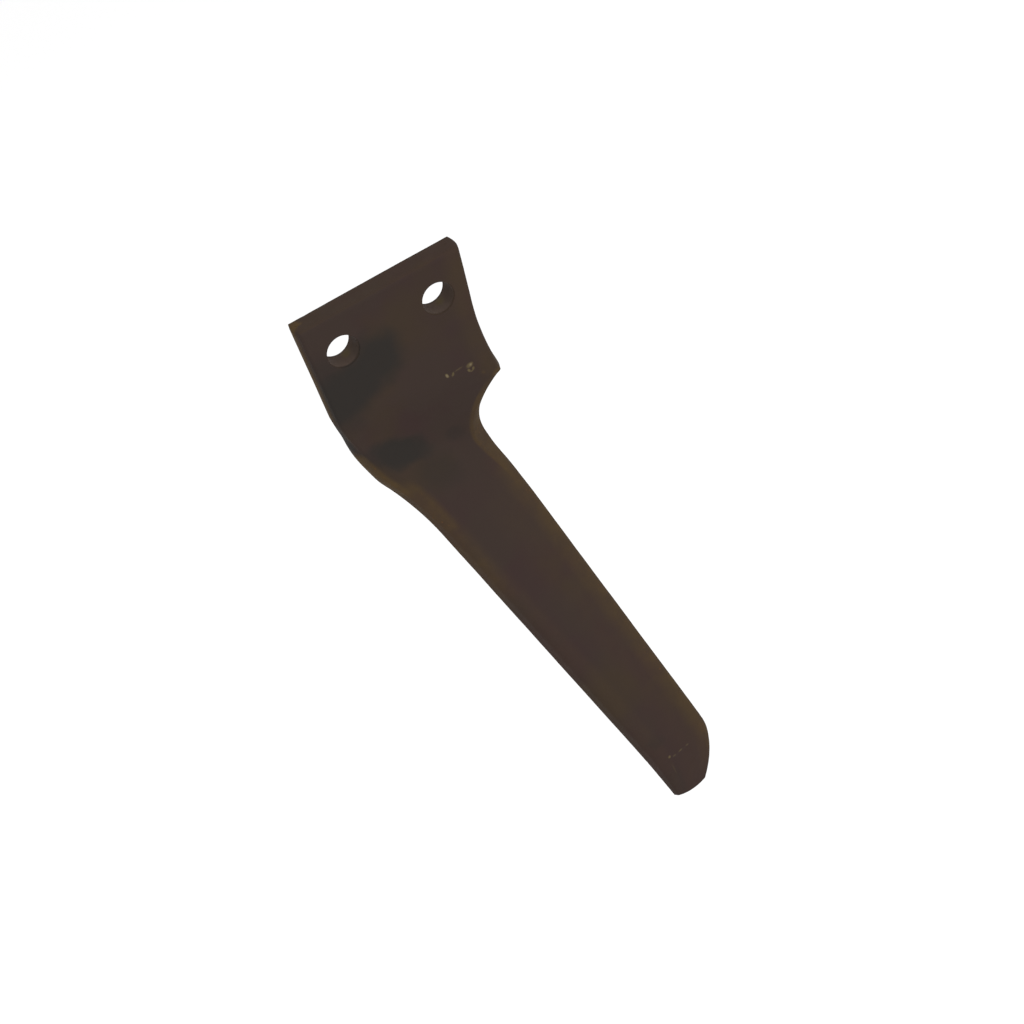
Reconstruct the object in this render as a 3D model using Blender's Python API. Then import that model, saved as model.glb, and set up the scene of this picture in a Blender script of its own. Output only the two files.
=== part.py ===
"""Power harrow tine, forged in one piece from flat bar.

The flat head bolts to a rotor's carrier through two holes. Below it the bar is cranked: it dips away from
the front along a slanted crease, then comes forward again as a blade that is twisted, raked and tapered.
A round notch under a horn frees one side of the neck. The blade ends in a ground facet and a rounded corner.

Metres, +Z up. The origin is on the back of the head, midway between the two holes.
+X runs along the holes to the horn's side, and -Y is the front, where the blade comes forward.
"""
import math

import bmesh
import bpy
import numpy as np

MM = 0.001

# Head plate
BAR_THICKNESS = 14.0 * MM
HOLE_TO_TOP = 21.2 * MM
HOLE_TO_LEFT_EDGE = 17.9 * MM
HOLE_TO_RIGHT_EDGE = 19.7 * MM
HOLE_SPACING = 55.0 * MM
HOLE_DIAMETER = 17.5 * MM
HEAD_CORNER_RADIUS = 0.9 * MM
HEAD_FRONT_RADIUS = 2.0 * MM
HEAD_BACK_RADIUS = 0.6 * MM
HEAD_SIDE_BULGE = 1.1 * MM

# Right side of the head: it narrows to a waist and flares to the horn's point
WAIST_INSET = 5.7 * MM
WAIST_DROP = 35.0 * MM
WAIST_RADIUS = 175.0 * MM
HORN_INSET = 1.5 * MM
HORN_DROP = 58.3 * MM
HORN_RADIUS = 0.8 * MM

# Notch under the horn, and the shoulder where the blade's right edge starts
NOTCH_DEPTH = 22.0 * MM
NOTCH_DROP = 17.4 * MM
NOTCH_RADIUS = 39.0 * MM
SHOULDER_OUT = 39.7 * MM
SHOULDER_DROP = 123.2 * MM
SHOULDER_RADIUS = 99.0 * MM

# Left side: it turns in below the head, turns again at the knee and straightens into the blade's left edge
BEND_IN = 1.3 * MM
BEND_DROP = 44.2 * MM
BEND_RADIUS = 51.0 * MM
KNEE_IN = 15.5 * MM
KNEE_DROP = 85.5 * MM
KNEE_RADIUS = 35.0 * MM
HOLLOW_IN = 28.5 * MM
HOLLOW_DROP = 108.6 * MM
HOLLOW_RADIUS = 205.0 * MM

# Blade
BLADE_DROP = 334.6 * MM
BLADE_LEFT_LEAN = math.radians(15.57)
BLADE_RIGHT_LEAN = math.radians(11.44)
TIP_WIDTH = 21.3 * MM
TIP_SLOPE = math.radians(13.8)
TIP_SHOULDER_DROP = 327.2 * MM
TIP_SHOULDER_RADIUS = 64.0 * MM
TIP_BULGE = 1.6 * MM
FACET_LENGTH = 28.0 * MM
FACET_RADIUS = 22.0 * MM
TIP_THICKNESS = 4.0 * MM
FACET_CRISPNESS = 0.75

# Crank: the crease, the sunk neck below it and the blade's plane that rises from the valley
CREASE_DROP = 45.2 * MM
CREASE_SLOPE = math.radians(7.7)
CREASE_RADIUS = 30.0 * MM
NECK_DIP = math.radians(20.0)
VALLEY_DROP = 84.0 * MM
VALLEY_RADIUS = 18.0 * MM
BLADE_TWIST = math.radians(21.6)
BLADE_RAKE = math.radians(18.7)

# Forged edges of the neck and blade
KNEE_BEVEL = 6.5 * MM
NOTCH_BEVEL = 7.5 * MM
BEVEL_DEPTH = 5.0 * MM
BEVEL_MIDDLE_DROP = 98.0 * MM
BEVEL_REACH = 26.0 * MM
BLADE_LEFT_RADIUS = 5.0 * MM
BLADE_RIGHT_RADIUS = 6.5 * MM
BACK_EDGE_RADIUS = 3.0 * MM

# Mesh fineness
ROW_STEP = 4.6 * MM
FINE_ROW_STEP = 2.2 * MM
FRONT_COLUMNS = 15
BEVEL_STEPS = 4
BACK_STEPS = 3
SIDE_STEPS = 4
TOP_STEPS = 4
HOLE_SIDES = 56

STEEL_COLOUR = (0.052, 0.037, 0.029, 1.0)
STEEL_ROUGHNESS = 0.5
STEEL_METALLIC = 0.0

LEFT_EDGE = -HOLE_SPACING / 2 - HOLE_TO_LEFT_EDGE
RIGHT_EDGE = HOLE_SPACING / 2 + HOLE_TO_RIGHT_EDGE
TOP = HOLE_TO_TOP


def filleted(corners, radii, steps=10):
    """Outline through the corners, with each inner corner rounded by an arc of its radius."""
    corners = [np.array(corner) for corner in corners]
    sides = [after - before for before, after in zip(corners, corners[1:])]
    lengths = [np.linalg.norm(side) for side in sides]
    ways = [side / length for side, length in zip(sides, lengths)]
    turns = [math.acos(np.clip(before @ after, -1, 1)) for before, after in zip(ways, ways[1:])]
    reaches = [0] + [radius * math.tan(turn / 2) for radius, turn in zip(radii, turns)] + [0]
    wanted = [a + b for a, b in zip(reaches, reaches[1:])]
    room = [min(1, 0.98 * length / want) if want else 1 for length, want in zip(lengths, wanted)]
    points = [corners[0]]
    for k, turn in enumerate(turns, 1):
        reach = reaches[k] * min(room[k - 1], room[k])
        radius = reach / math.tan(turn / 2)
        side = math.copysign(1, ways[k - 1][0] * ways[k][1] - ways[k - 1][1] * ways[k][0])
        start = corners[k] - ways[k - 1] * reach
        inward = side * np.array((-ways[k - 1][1], ways[k - 1][0]))
        for step in range(steps + 1):
            angle = turn * step / steps
            points.append(start + radius * (math.sin(angle) * ways[k - 1] + (1 - math.cos(angle)) * inward))
    points.append(corners[-1])
    return np.array(points)


def left_outline():
    """The left edge as (x, z) from the top down to the blade's point."""
    knee = (LEFT_EDGE + KNEE_IN, -KNEE_DROP)
    hollow = (LEFT_EDGE + HOLLOW_IN, -HOLLOW_DROP)
    length = BLADE_DROP - HOLLOW_DROP
    point = (hollow[0] + length * math.tan(BLADE_LEFT_LEAN), -BLADE_DROP)
    corners = [(LEFT_EDGE, TOP), (LEFT_EDGE + BEND_IN, -BEND_DROP), knee, hollow, point]
    return filleted(corners, [BEND_RADIUS, KNEE_RADIUS, HOLLOW_RADIUS])


def right_outline(point):
    """The right edge as (x, z) from the top down to the corner where the blade's end starts."""
    horn = np.array((RIGHT_EDGE - HORN_INSET, -HORN_DROP))
    notch = horn + (-NOTCH_DEPTH, -NOTCH_DROP)
    shoulder = np.array((SHOULDER_OUT, -SHOULDER_DROP))
    end = np.array(point) + TIP_WIDTH * np.array((math.cos(TIP_SLOPE), -math.sin(TIP_SLOPE)))
    length = TIP_SHOULDER_DROP - SHOULDER_DROP
    tip_shoulder = shoulder + (length * math.tan(BLADE_RIGHT_LEAN), -length)
    corners = [
        (RIGHT_EDGE - HEAD_CORNER_RADIUS, TOP),
        (RIGHT_EDGE, TOP),
        (RIGHT_EDGE - WAIST_INSET, -WAIST_DROP),
        horn,
        notch,
        shoulder,
        tip_shoulder,
        end,
    ]
    head_radii = [HEAD_CORNER_RADIUS, WAIST_RADIUS, HORN_RADIUS, NOTCH_RADIUS]
    return filleted(corners, head_radii + [SHOULDER_RADIUS, TIP_SHOULDER_RADIUS])


def along(outline, z):
    """x of an outline at the height z, and how much longer than its height it is there."""
    x = np.interp(-z, -outline[:, 1], outline[:, 0])
    step = 1.0 * MM
    near = np.interp(-z + np.array((-step, step)), -outline[:, 1], outline[:, 0])
    return x, math.hypot(1, (near[1] - near[0]) / (2 * step))


def smooth_max(a, b, blend):
    """The larger of two heights, rounded where they cross."""
    return (a + b + np.sqrt((a - b) ** 2 + blend**2)) / 2


def front_height(x, z):
    """y of the front face: the flat head, the sunk neck below the crease, and the blade's plane."""
    head = -BAR_THICKNESS
    below = (-CREASE_DROP - x * math.tan(CREASE_SLOPE) - z) * math.cos(CREASE_SLOPE)
    neck = head + below * math.tan(NECK_DIP)
    valley = head + (VALLEY_DROP - CREASE_DROP) * math.cos(CREASE_SLOPE) * math.tan(NECK_DIP)
    blade = valley + x * math.tan(BLADE_TWIST) + (z + VALLEY_DROP) * math.tan(BLADE_RAKE)
    crease_slope = math.tan(NECK_DIP)
    valley_slope = math.hypot(math.tan(BLADE_TWIST), math.tan(BLADE_RAKE) + crease_slope)
    sunk = smooth_max(head, neck, CREASE_RADIUS * crease_slope**2 / 2)
    return -smooth_max(-sunk, -blade, VALLEY_RADIUS * valley_slope**2 / 2)


def place(x, z, depth):
    """The point at this depth behind the front face, measured square to the face."""
    step = 0.2 * MM
    slope_x = (front_height(x + step, z) - front_height(x - step, z)) / (2 * step)
    slope_z = (front_height(x, z + step) - front_height(x, z - step)) / (2 * step)
    normal = np.array((-slope_x, 1.0, -slope_z)) / math.sqrt(1 + slope_x**2 + slope_z**2)
    return np.array((x, front_height(x, z), z)) + depth * normal


def rise(low, high, value):
    """0 below low, 1 above high, and a smooth step between them."""
    t = np.clip((value - low) / (high - low), 0, 1)
    return t * t * (3 - 2 * t)


def edge_sizes(drop):
    """Edge sizes at a drop below the holes.

    They are the widths of the front's left and right edges, their depth, the radius of the back's edges,
    how far the side faces swell, and how flat the front's edges are: 0 is a rounded edge and 1 a flat bevel.
    """
    root = math.exp(-(((drop - BEVEL_MIDDLE_DROP) / BEVEL_REACH) ** 2))
    blade = rise(HORN_DROP, BEVEL_MIDDLE_DROP, drop)
    left = HEAD_FRONT_RADIUS + (BLADE_LEFT_RADIUS - HEAD_FRONT_RADIUS) * blade
    left += (KNEE_BEVEL - BLADE_LEFT_RADIUS) * root
    right = HEAD_FRONT_RADIUS + (BLADE_RIGHT_RADIUS - HEAD_FRONT_RADIUS) * blade
    right += (NOTCH_BEVEL - BLADE_RIGHT_RADIUS) * root
    depth = HEAD_FRONT_RADIUS + (BEVEL_DEPTH - HEAD_FRONT_RADIUS) * blade
    back = HEAD_BACK_RADIUS + (BACK_EDGE_RADIUS - HEAD_BACK_RADIUS) * blade
    return left, right, depth, back, HEAD_SIDE_BULGE * (1 - blade), root


def edge_curve(width, depth, flatness, steps):
    """Points of a rounded or bevelled edge, from the side face to the broad face, as (inward, depth)."""
    curve = []
    for step in range(steps + 1):
        share = step / steps
        angle = share * math.pi / 2
        inward = (1 - flatness) * (1 - math.cos(angle)) + flatness * share
        down = (1 - flatness) * (1 - math.sin(angle)) + flatness * (1 - share)
        curve.append((width * inward, depth * down))
    return curve


def between(start, stop, steps, swell=0):
    """Points strictly between two points, moved sideways by a swell that is fullest midway."""
    points = []
    for step in range(1, steps):
        share = step / steps
        across = start[0] + (stop[0] - start[0]) * share + swell * 4 * share * (1 - share)
        points.append((across, start[1] + (stop[1] - start[1]) * share))
    return points


def rounding(radius, drop):
    """How far an edge of this radius is pulled in at a drop below the face that it rounds off."""
    return radius - math.sqrt(radius**2 - max(radius - drop, 0) ** 2)


def facet_share(drop):
    """How far the tip's facet has thinned the blade at a drop below the holes: 0 not at all, 1 fully."""
    slope = (BAR_THICKNESS - TIP_THICKNESS) / FACET_LENGTH
    blend = FACET_RADIUS * slope / (2 * FACET_LENGTH)
    return min(smooth_max(0, 1 + (drop - BLADE_DROP) / FACET_LENGTH, blend), 1)


def section(share, left_edge, right_edge):
    """Loop of points round the bar at a share of its length, pulled in where the top's edges are rounded."""
    left_z = TOP - share * (TOP - left_edge[-1, 1])
    right_z = TOP - share * (TOP - right_edge[-1, 1])
    left_x, left_slant = along(left_edge, left_z)
    right_x, right_slant = along(right_edge, right_z)
    width = right_x - left_x
    facet = facet_share(-left_z)
    thickness = BAR_THICKNESS - facet * (BAR_THICKNESS - TIP_THICKNESS)
    front_in = rounding(HEAD_FRONT_RADIUS, TOP - left_z)
    back_in = rounding(HEAD_BACK_RADIUS, TOP - left_z)
    left_bevel, right_bevel, bevel_depth, back_radius, bulge, flatness = edge_sizes(-left_z)
    shrink = max(1 - front_in / HEAD_FRONT_RADIUS, 0.02) * (1 - facet * FACET_CRISPNESS)
    bevel_depth, back_radius, bulge = bevel_depth * shrink, back_radius * shrink, bulge * shrink
    left_curve = edge_curve(left_bevel * left_slant * shrink, bevel_depth, flatness, BEVEL_STEPS)
    right_curve = edge_curve(right_bevel * right_slant * shrink, bevel_depth, flatness, BEVEL_STEPS)
    back_curve = edge_curve(back_radius, back_radius, 0, BACK_STEPS)
    front_left = [(front_in + a, front_in + b) for a, b in left_curve]
    front_right = [(width - front_in - a, front_in + b) for a, b in reversed(right_curve)]
    back_right = [(width - back_in - a, thickness - back_in - b) for a, b in back_curve]
    back_left = [(back_in + a, thickness - back_in - b) for a, b in reversed(back_curve)]
    loop = front_left + between(front_left[-1], front_right[0], FRONT_COLUMNS)
    loop += front_right + between(front_right[-1], back_right[0], SIDE_STEPS, bulge)
    loop += back_right + between(back_right[-1], back_left[0], FRONT_COLUMNS)
    loop += back_left + between(back_left[-1], front_left[0], SIDE_STEPS, -bulge)
    points = []
    for across, depth in loop:
        t = across / width
        z = left_z + t * (right_z - left_z) - facet * TIP_BULGE * 4 * t * (1 - t)
        points.append(place(left_x + across, z, BAR_THICKNESS - thickness + depth))
    return points


def row_shares():
    """Shares of the length at which the bar has a row of points, closer where its outline turns."""
    length = TOP + BLADE_DROP
    crank = (TOP + CREASE_DROP - CREASE_RADIUS / 2, TOP + HORN_DROP + NOTCH_DROP + NOTCH_RADIUS)
    turns = [crank, (length - FACET_LENGTH - FACET_RADIUS / 2, length)]
    shares = [HEAD_FRONT_RADIUS / length]
    at = HEAD_FRONT_RADIUS
    stops = sorted(edge for turn in turns for edge in turn)
    for stop in stops:
        fine = any(low <= (at + stop) / 2 <= high for low, high in turns)
        count = max(1, round((stop - at) / (FINE_ROW_STEP if fine else ROW_STEP)))
        shares += [(at + (stop - at) * (k + 1) / count) / length for k in range(count)]
        at = stop
    return shares


def bar_mesh():
    """The forged bar without its holes, as rows of points closed by a face at each end."""
    left_edge = left_outline()
    right_edge = right_outline(left_edge[-1])
    length = TOP + BLADE_DROP
    rows = []
    for step in range(TOP_STEPS):
        angle = step / TOP_STEPS * math.pi / 2
        share = HEAD_FRONT_RADIUS * (1 - math.cos(angle)) / length
        rows.append(section(share, left_edge, right_edge))
    rows += [section(share, left_edge, right_edge) for share in row_shares()]
    mesh = bmesh.new()
    rings = [[mesh.verts.new(point) for point in row] for row in rows]
    for upper, lower in zip(rings, rings[1:]):
        for k in range(len(upper)):
            after = (k + 1) % len(upper)
            mesh.faces.new((upper[k], upper[after], lower[after], lower[k]))
    mesh.faces.new(list(reversed(rings[0])))
    mesh.faces.new(rings[-1])
    bmesh.ops.recalc_face_normals(mesh, faces=mesh.faces)
    return mesh


def steel():
    """Dark brown, dull-glossy paint over forged steel."""
    material = bpy.data.materials.new("dark_forged_steel")
    material.use_nodes = True
    shader = material.node_tree.nodes["Principled BSDF"]
    shader.inputs["Base Color"].default_value = STEEL_COLOUR
    shader.inputs["Roughness"].default_value = STEEL_ROUGHNESS
    shader.inputs["Metallic"].default_value = STEEL_METALLIC
    return material


def hole_cutter(name, x):
    """A cylinder through the head at a bolt hole, which the render and the build leave out."""
    mesh = bmesh.new()
    bmesh.ops.create_cone(
        mesh,
        cap_ends=True,
        segments=HOLE_SIDES,
        radius1=HOLE_DIAMETER / 2,
        radius2=HOLE_DIAMETER / 2,
        depth=BAR_THICKNESS * 2,
    )
    data = bpy.data.meshes.new(name)
    mesh.to_mesh(data)
    mesh.free()
    cutter = bpy.data.objects.new(name, data)
    cutter.rotation_euler = (math.pi / 2, 0, 0)
    cutter.location = (x, -BAR_THICKNESS / 2, 0)
    cutter.hide_render = True
    cutter.display_type = "WIRE"
    bpy.context.scene.collection.objects.link(cutter)
    return cutter


def build_tine():
    """The whole tine: the forged bar with its two bolt holes cut."""
    mesh = bar_mesh()
    data = bpy.data.meshes.new("tine")
    mesh.to_mesh(data)
    mesh.free()
    data.shade_smooth()
    data.set_sharp_from_angle(angle=math.radians(35))
    tine = bpy.data.objects.new("tine", data)
    tine.data.materials.append(steel())
    bpy.context.scene.collection.objects.link(tine)
    for name, x in (("left_hole_cutter", -HOLE_SPACING / 2), ("right_hole_cutter", HOLE_SPACING / 2)):
        cut = tine.modifiers.new(name, "BOOLEAN")
        cut.operation = "DIFFERENCE"
        cut.solver = "EXACT"
        cut.object = hole_cutter(name, x)
    return tine


for old in list(bpy.data.objects):
    bpy.data.objects.remove(old, do_unlink=True)
build_tine()
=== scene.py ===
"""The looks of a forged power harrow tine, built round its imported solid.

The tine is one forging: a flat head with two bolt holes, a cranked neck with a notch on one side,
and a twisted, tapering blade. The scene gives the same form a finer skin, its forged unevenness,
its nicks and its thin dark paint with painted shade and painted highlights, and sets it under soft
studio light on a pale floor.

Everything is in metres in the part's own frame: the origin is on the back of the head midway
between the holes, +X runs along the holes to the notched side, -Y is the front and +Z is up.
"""

import logging
import math
from dataclasses import dataclass, field, fields
from enum import Enum
from functools import partial, reduce
from typing import ClassVar

import bmesh
import bpy
import numpy as np
from mathutils import Matrix, Vector


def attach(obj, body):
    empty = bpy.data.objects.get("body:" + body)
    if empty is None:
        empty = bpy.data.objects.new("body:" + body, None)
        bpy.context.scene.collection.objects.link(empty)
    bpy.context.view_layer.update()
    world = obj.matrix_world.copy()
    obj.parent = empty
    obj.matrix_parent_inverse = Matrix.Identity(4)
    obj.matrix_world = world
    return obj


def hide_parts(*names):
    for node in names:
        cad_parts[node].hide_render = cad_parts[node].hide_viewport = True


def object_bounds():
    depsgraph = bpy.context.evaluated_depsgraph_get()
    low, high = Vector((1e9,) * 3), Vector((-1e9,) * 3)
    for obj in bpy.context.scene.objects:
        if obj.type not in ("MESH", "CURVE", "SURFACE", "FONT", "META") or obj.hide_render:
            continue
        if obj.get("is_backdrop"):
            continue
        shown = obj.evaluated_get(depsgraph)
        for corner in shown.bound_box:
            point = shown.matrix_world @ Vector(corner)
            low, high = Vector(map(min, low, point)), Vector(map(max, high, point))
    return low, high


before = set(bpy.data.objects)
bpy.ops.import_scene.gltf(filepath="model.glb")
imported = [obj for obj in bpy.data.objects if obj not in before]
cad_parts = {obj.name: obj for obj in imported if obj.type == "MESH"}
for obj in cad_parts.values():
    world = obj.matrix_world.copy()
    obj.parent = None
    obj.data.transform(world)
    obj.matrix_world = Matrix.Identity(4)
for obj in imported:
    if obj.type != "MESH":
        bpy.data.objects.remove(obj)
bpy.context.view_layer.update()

MM = 0.001
BAR = 14.0 * MM
LOG = logging.getLogger("tine")

Array = np.ndarray
Triple = tuple[float, float, float]
Colour = Triple
Range = tuple[float, float]
Socket = bpy.types.NodeSocket


class WearAndLight(Enum):
    """What making and handling did to a spot of the forging, and the light and shade painted on it.
    """

    # Also painted highlights: on the holes' lower walls and along the tip's lip.
    RUBBED = "rubbed towards bright steel"
    # Also painted light along the knee, the left blade's edge and the right bevel.
    THINNED = "paint worn thin and warm"
    # Also painted shade: the head's lower left, the valley below the crease, the bend's side face
    # and the tip's left facet.
    STAINED = "dark stain in the paint"
    DENTED = "pressed in, or raised where its strength is negative"


class Side(Enum):
    """The two long sides, as the front is looked at."""

    LEFT = 3
    RIGHT = 4


def rise(low: float, high: float, value: Array) -> Array:
    """Smooth step: 0 where the value is at or below low, 1 where it is at or above high."""
    t = np.clip((value - low) / (high - low), 0.0, 1.0)
    return t * t * (3.0 - 2.0 * t)


def larger(a: Array, b: Array, blend: float) -> Array:
    """The larger of two heights, with a rounding of the given width where they cross."""
    return (a + b + np.sqrt((a - b) ** 2 + blend**2)) / 2.0


def rounding(radius: float, drop: float) -> float:
    """How far a rounded edge is pulled in at a drop below the face that it rounds off."""
    return radius - math.sqrt(radius**2 - max(radius - drop, 0.0) ** 2)


def between(start: Array, stop: Array, count: int, swell: float = 0.0) -> Array:
    """Points strictly between two (across, depth) points of a loop, swollen at the middle."""
    share = np.linspace(0.0, 1.0, count + 1)[1:-1, None]
    return start + (stop - start) * share + swell * 4 * share * (1 - share) * np.array((1.0, 0.0))


def tube(count: int, around: int) -> Array:
    """Corners of the faces that join rings of points into a tube.

    Args:
        count: Number of rings.
        around: Number of points in each ring.

    Returns:
        Numbers of each face's four corners, one row each.
    """
    corner = np.arange(count * around).reshape(count, around)
    after = np.roll(corner, -1, axis=1)
    return np.stack((corner[:-1], corner[1:], after[1:], after[:-1]), axis=-1).reshape(-1, 4)


def store(mesh: bpy.types.Mesh, name: str, values: Array) -> None:
    """Keeps one value for each vertex of a mesh, as an attribute of this name."""
    layer = mesh.attributes.get(name) or mesh.attributes.new(name, "FLOAT", "POINT")
    layer.data.foreach_set("value", np.asarray(values, dtype=np.float32))


def placed(name: str, data: bpy.types.ID) -> bpy.types.Object:
    """A new object with this data, linked to the scene.

    Args:
        name: Its name.
        data: Its mesh, lamp or camera.

    Returns:
        The object.
    """
    thing = bpy.data.objects.new(name, data)
    bpy.context.scene.collection.objects.link(thing)
    return thing


def filleted(
    corners: list[tuple[float, float]], radii: list[float], steps: int = 40, fill: float = 0.98
) -> Array:
    """Outline through corners, with each inner corner rounded by an arc.

    Args:
        corners: Corner points in order.
        radii: Arc radius at each inner corner.
        steps: Steps along each arc.
        fill: Share of a side that its arcs may take up.

    Returns:
        Points of the outline, one row each.
    """
    marks = [np.array(corner) for corner in corners]
    sides = [after - before for before, after in zip(marks, marks[1:])]
    lengths = [float(np.linalg.norm(side)) for side in sides]
    ways = [side / length for side, length in zip(sides, lengths)]
    turns = [math.acos(np.clip(before @ after, -1, 1)) for before, after in zip(ways, ways[1:])]
    reaches = [0.0] + [radius * math.tan(turn / 2) for radius, turn in zip(radii, turns)] + [0.0]
    wanted = [a + b for a, b in zip(reaches, reaches[1:])]
    room = [min(1.0, fill * has / want) if want else 1.0 for has, want in zip(lengths, wanted)]
    points = [marks[0]]
    for k, turn in enumerate(turns, 1):
        reach = reaches[k] * min(room[k - 1], room[k])
        radius = reach / math.tan(turn / 2)
        cross = ways[k - 1][0] * ways[k][1] - ways[k - 1][1] * ways[k][0]
        inward = math.copysign(1.0, cross) * np.array((-ways[k - 1][1], ways[k - 1][0]))
        start = marks[k] - ways[k - 1] * reach
        for step in range(steps + 1):
            angle = turn * step / steps
            moved = math.sin(angle) * ways[k - 1] + (1 - math.cos(angle)) * inward
            points.append(start + radius * moved)
    points.append(marks[-1])
    return np.array(points)


@dataclass(frozen=True)
class HeadPlate:
    """The flat head that is bolted to the carrier, with its two holes."""

    hole_to_top: float = 21.2 * MM
    hole_to_left: float = 17.9 * MM
    hole_to_right: float = 19.7 * MM
    hole_spacing: float = 55.0 * MM
    hole_diameter: float = 17.5 * MM
    hole_rim: float = 0.2 * MM
    hole_sides: int = 96
    rim_steps: int = 5
    wall_steps: int = 10
    # Painted shade: how much darker the right of each hole's wall is left.
    painted_wall_shade: float = 0.4
    shade_span: Range = (0.3, 0.9)
    smooth_rim: float = 1.2 * MM
    smooth_reach: float = 7.0 * MM
    plug_reach: float = 4.0 * MM
    corner_radius: float = 0.9 * MM
    front_radius: float = 2.0 * MM
    back_radius: float = 0.6 * MM
    side_bulge: float = 1.1 * MM

    @property
    def left(self) -> float:
        """x of the head's left edge."""
        return -self.hole_spacing / 2 - self.hole_to_left

    @property
    def right(self) -> float:
        """x of the head's right edge at its top."""
        return self.hole_spacing / 2 + self.hole_to_right

    @property
    def hole_centres(self) -> tuple[float, float]:
        """x of both bolt holes."""
        return -self.hole_spacing / 2, self.hole_spacing / 2

    def from_hole_wall(self, points: Array) -> Array:
        """How far each point is from the nearer hole's wall, negative inside a hole."""
        away = [np.hypot(points[:, 0] - centre, points[:, 2]) for centre in self.hole_centres]
        return np.minimum(*away) - self.hole_diameter / 2

    def skin_share(self, points: Array) -> Array:
        """How much forged unevenness each point takes: none in the holes and at their rims."""
        return rise(self.smooth_rim, self.smooth_reach, self.from_hole_wall(points))

    def bore_share(self, points: Array) -> Array:
        """How much painted light each point gets on the holes' walls, lifting them against their
        own shade.

        Args:
            points: Points, one row each.

        Returns:
            1 on the holes' walls, less towards their right where painted shade is left, 0 on the
            faces and at the rims.
        """
        deep = np.abs(points[:, 1] + BAR / 2) < BAR / 2 - 2 * self.hole_rim
        on_wall = (self.from_hole_wall(points) < self.hole_rim / 2) & deep
        across = points[:, 0] - np.sign(points[:, 0]) * self.hole_spacing / 2
        shade = rise(*self.shade_span, across / (self.hole_diameter / 2))
        return np.where(on_wall, 1.0 - self.painted_wall_shade * shade, 0.0)

    def cutter(self, centre: float) -> bpy.types.Object:
        """A lathed plug as wide as a bolt hole, flared at both faces to break the hole's rims.

        Args:
            centre: x of the hole.

        Returns:
            The plug, hidden from the render.
        """
        radius, rim = self.hole_diameter / 2, self.hole_rim
        turns = np.linspace(0, math.pi / 2, self.rim_steps)
        arc = [(rim * math.sin(a), rim - rim * math.cos(a)) for a in turns]
        profile = [(self.plug_reach, radius + rim)]
        profile += [(-rim + up, radius + out) for up, out in reversed(arc)]
        profile += [(y, radius) for y in np.linspace(-rim, -BAR + rim, self.wall_steps)[1:-1]]
        profile += [(-BAR + rim - up, radius + out) for up, out in arc]
        profile += [(-BAR - self.plug_reach, radius + rim)]
        angles = np.linspace(0, 2 * math.pi, self.hole_sides, endpoint=False)
        ring = [(math.cos(a), math.sin(a)) for a in angles]
        points = [(centre + r * cos, y, r * sin) for y, r in profile for cos, sin in ring]
        numbers = list(range(len(points)))
        ends = [numbers[: self.hole_sides][::-1], numbers[-self.hole_sides :]]
        sides = tube(len(profile), self.hole_sides)[:, ::-1].tolist()
        data = bpy.data.meshes.new("hole_cutter")
        data.from_pydata(points, [], sides + ends)
        plug = placed("hole_cutter", data)
        plug.hide_render = True
        return plug


@dataclass(frozen=True)
class Blade:
    """The long blade, its leaning sides and its ground tip."""

    drop: float = 334.6 * MM
    left_lean: float = math.radians(15.57)
    right_lean: float = math.radians(11.44)
    tip_width: float = 21.3 * MM
    tip_slope: float = math.radians(13.8)
    tip_shoulder_drop: float = 327.2 * MM
    tip_shoulder_radius: float = 64.0 * MM
    tip_bulge: float = 1.6 * MM
    tip_thickness: float = 4.0 * MM
    facet_length: float = 28.0 * MM
    facet_radius: float = 22.0 * MM
    facet_crispness: float = 0.9

    def facet(self, drop: float) -> float:
        """How far the tip's facet has thinned the blade at a drop: 0 not at all, 1 at its end."""
        blend = self.facet_radius * (BAR - self.tip_thickness) / (2 * self.facet_length**2)
        return min(float(larger(0.0, 1 + (drop - self.drop) / self.facet_length, blend)), 1.0)


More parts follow.
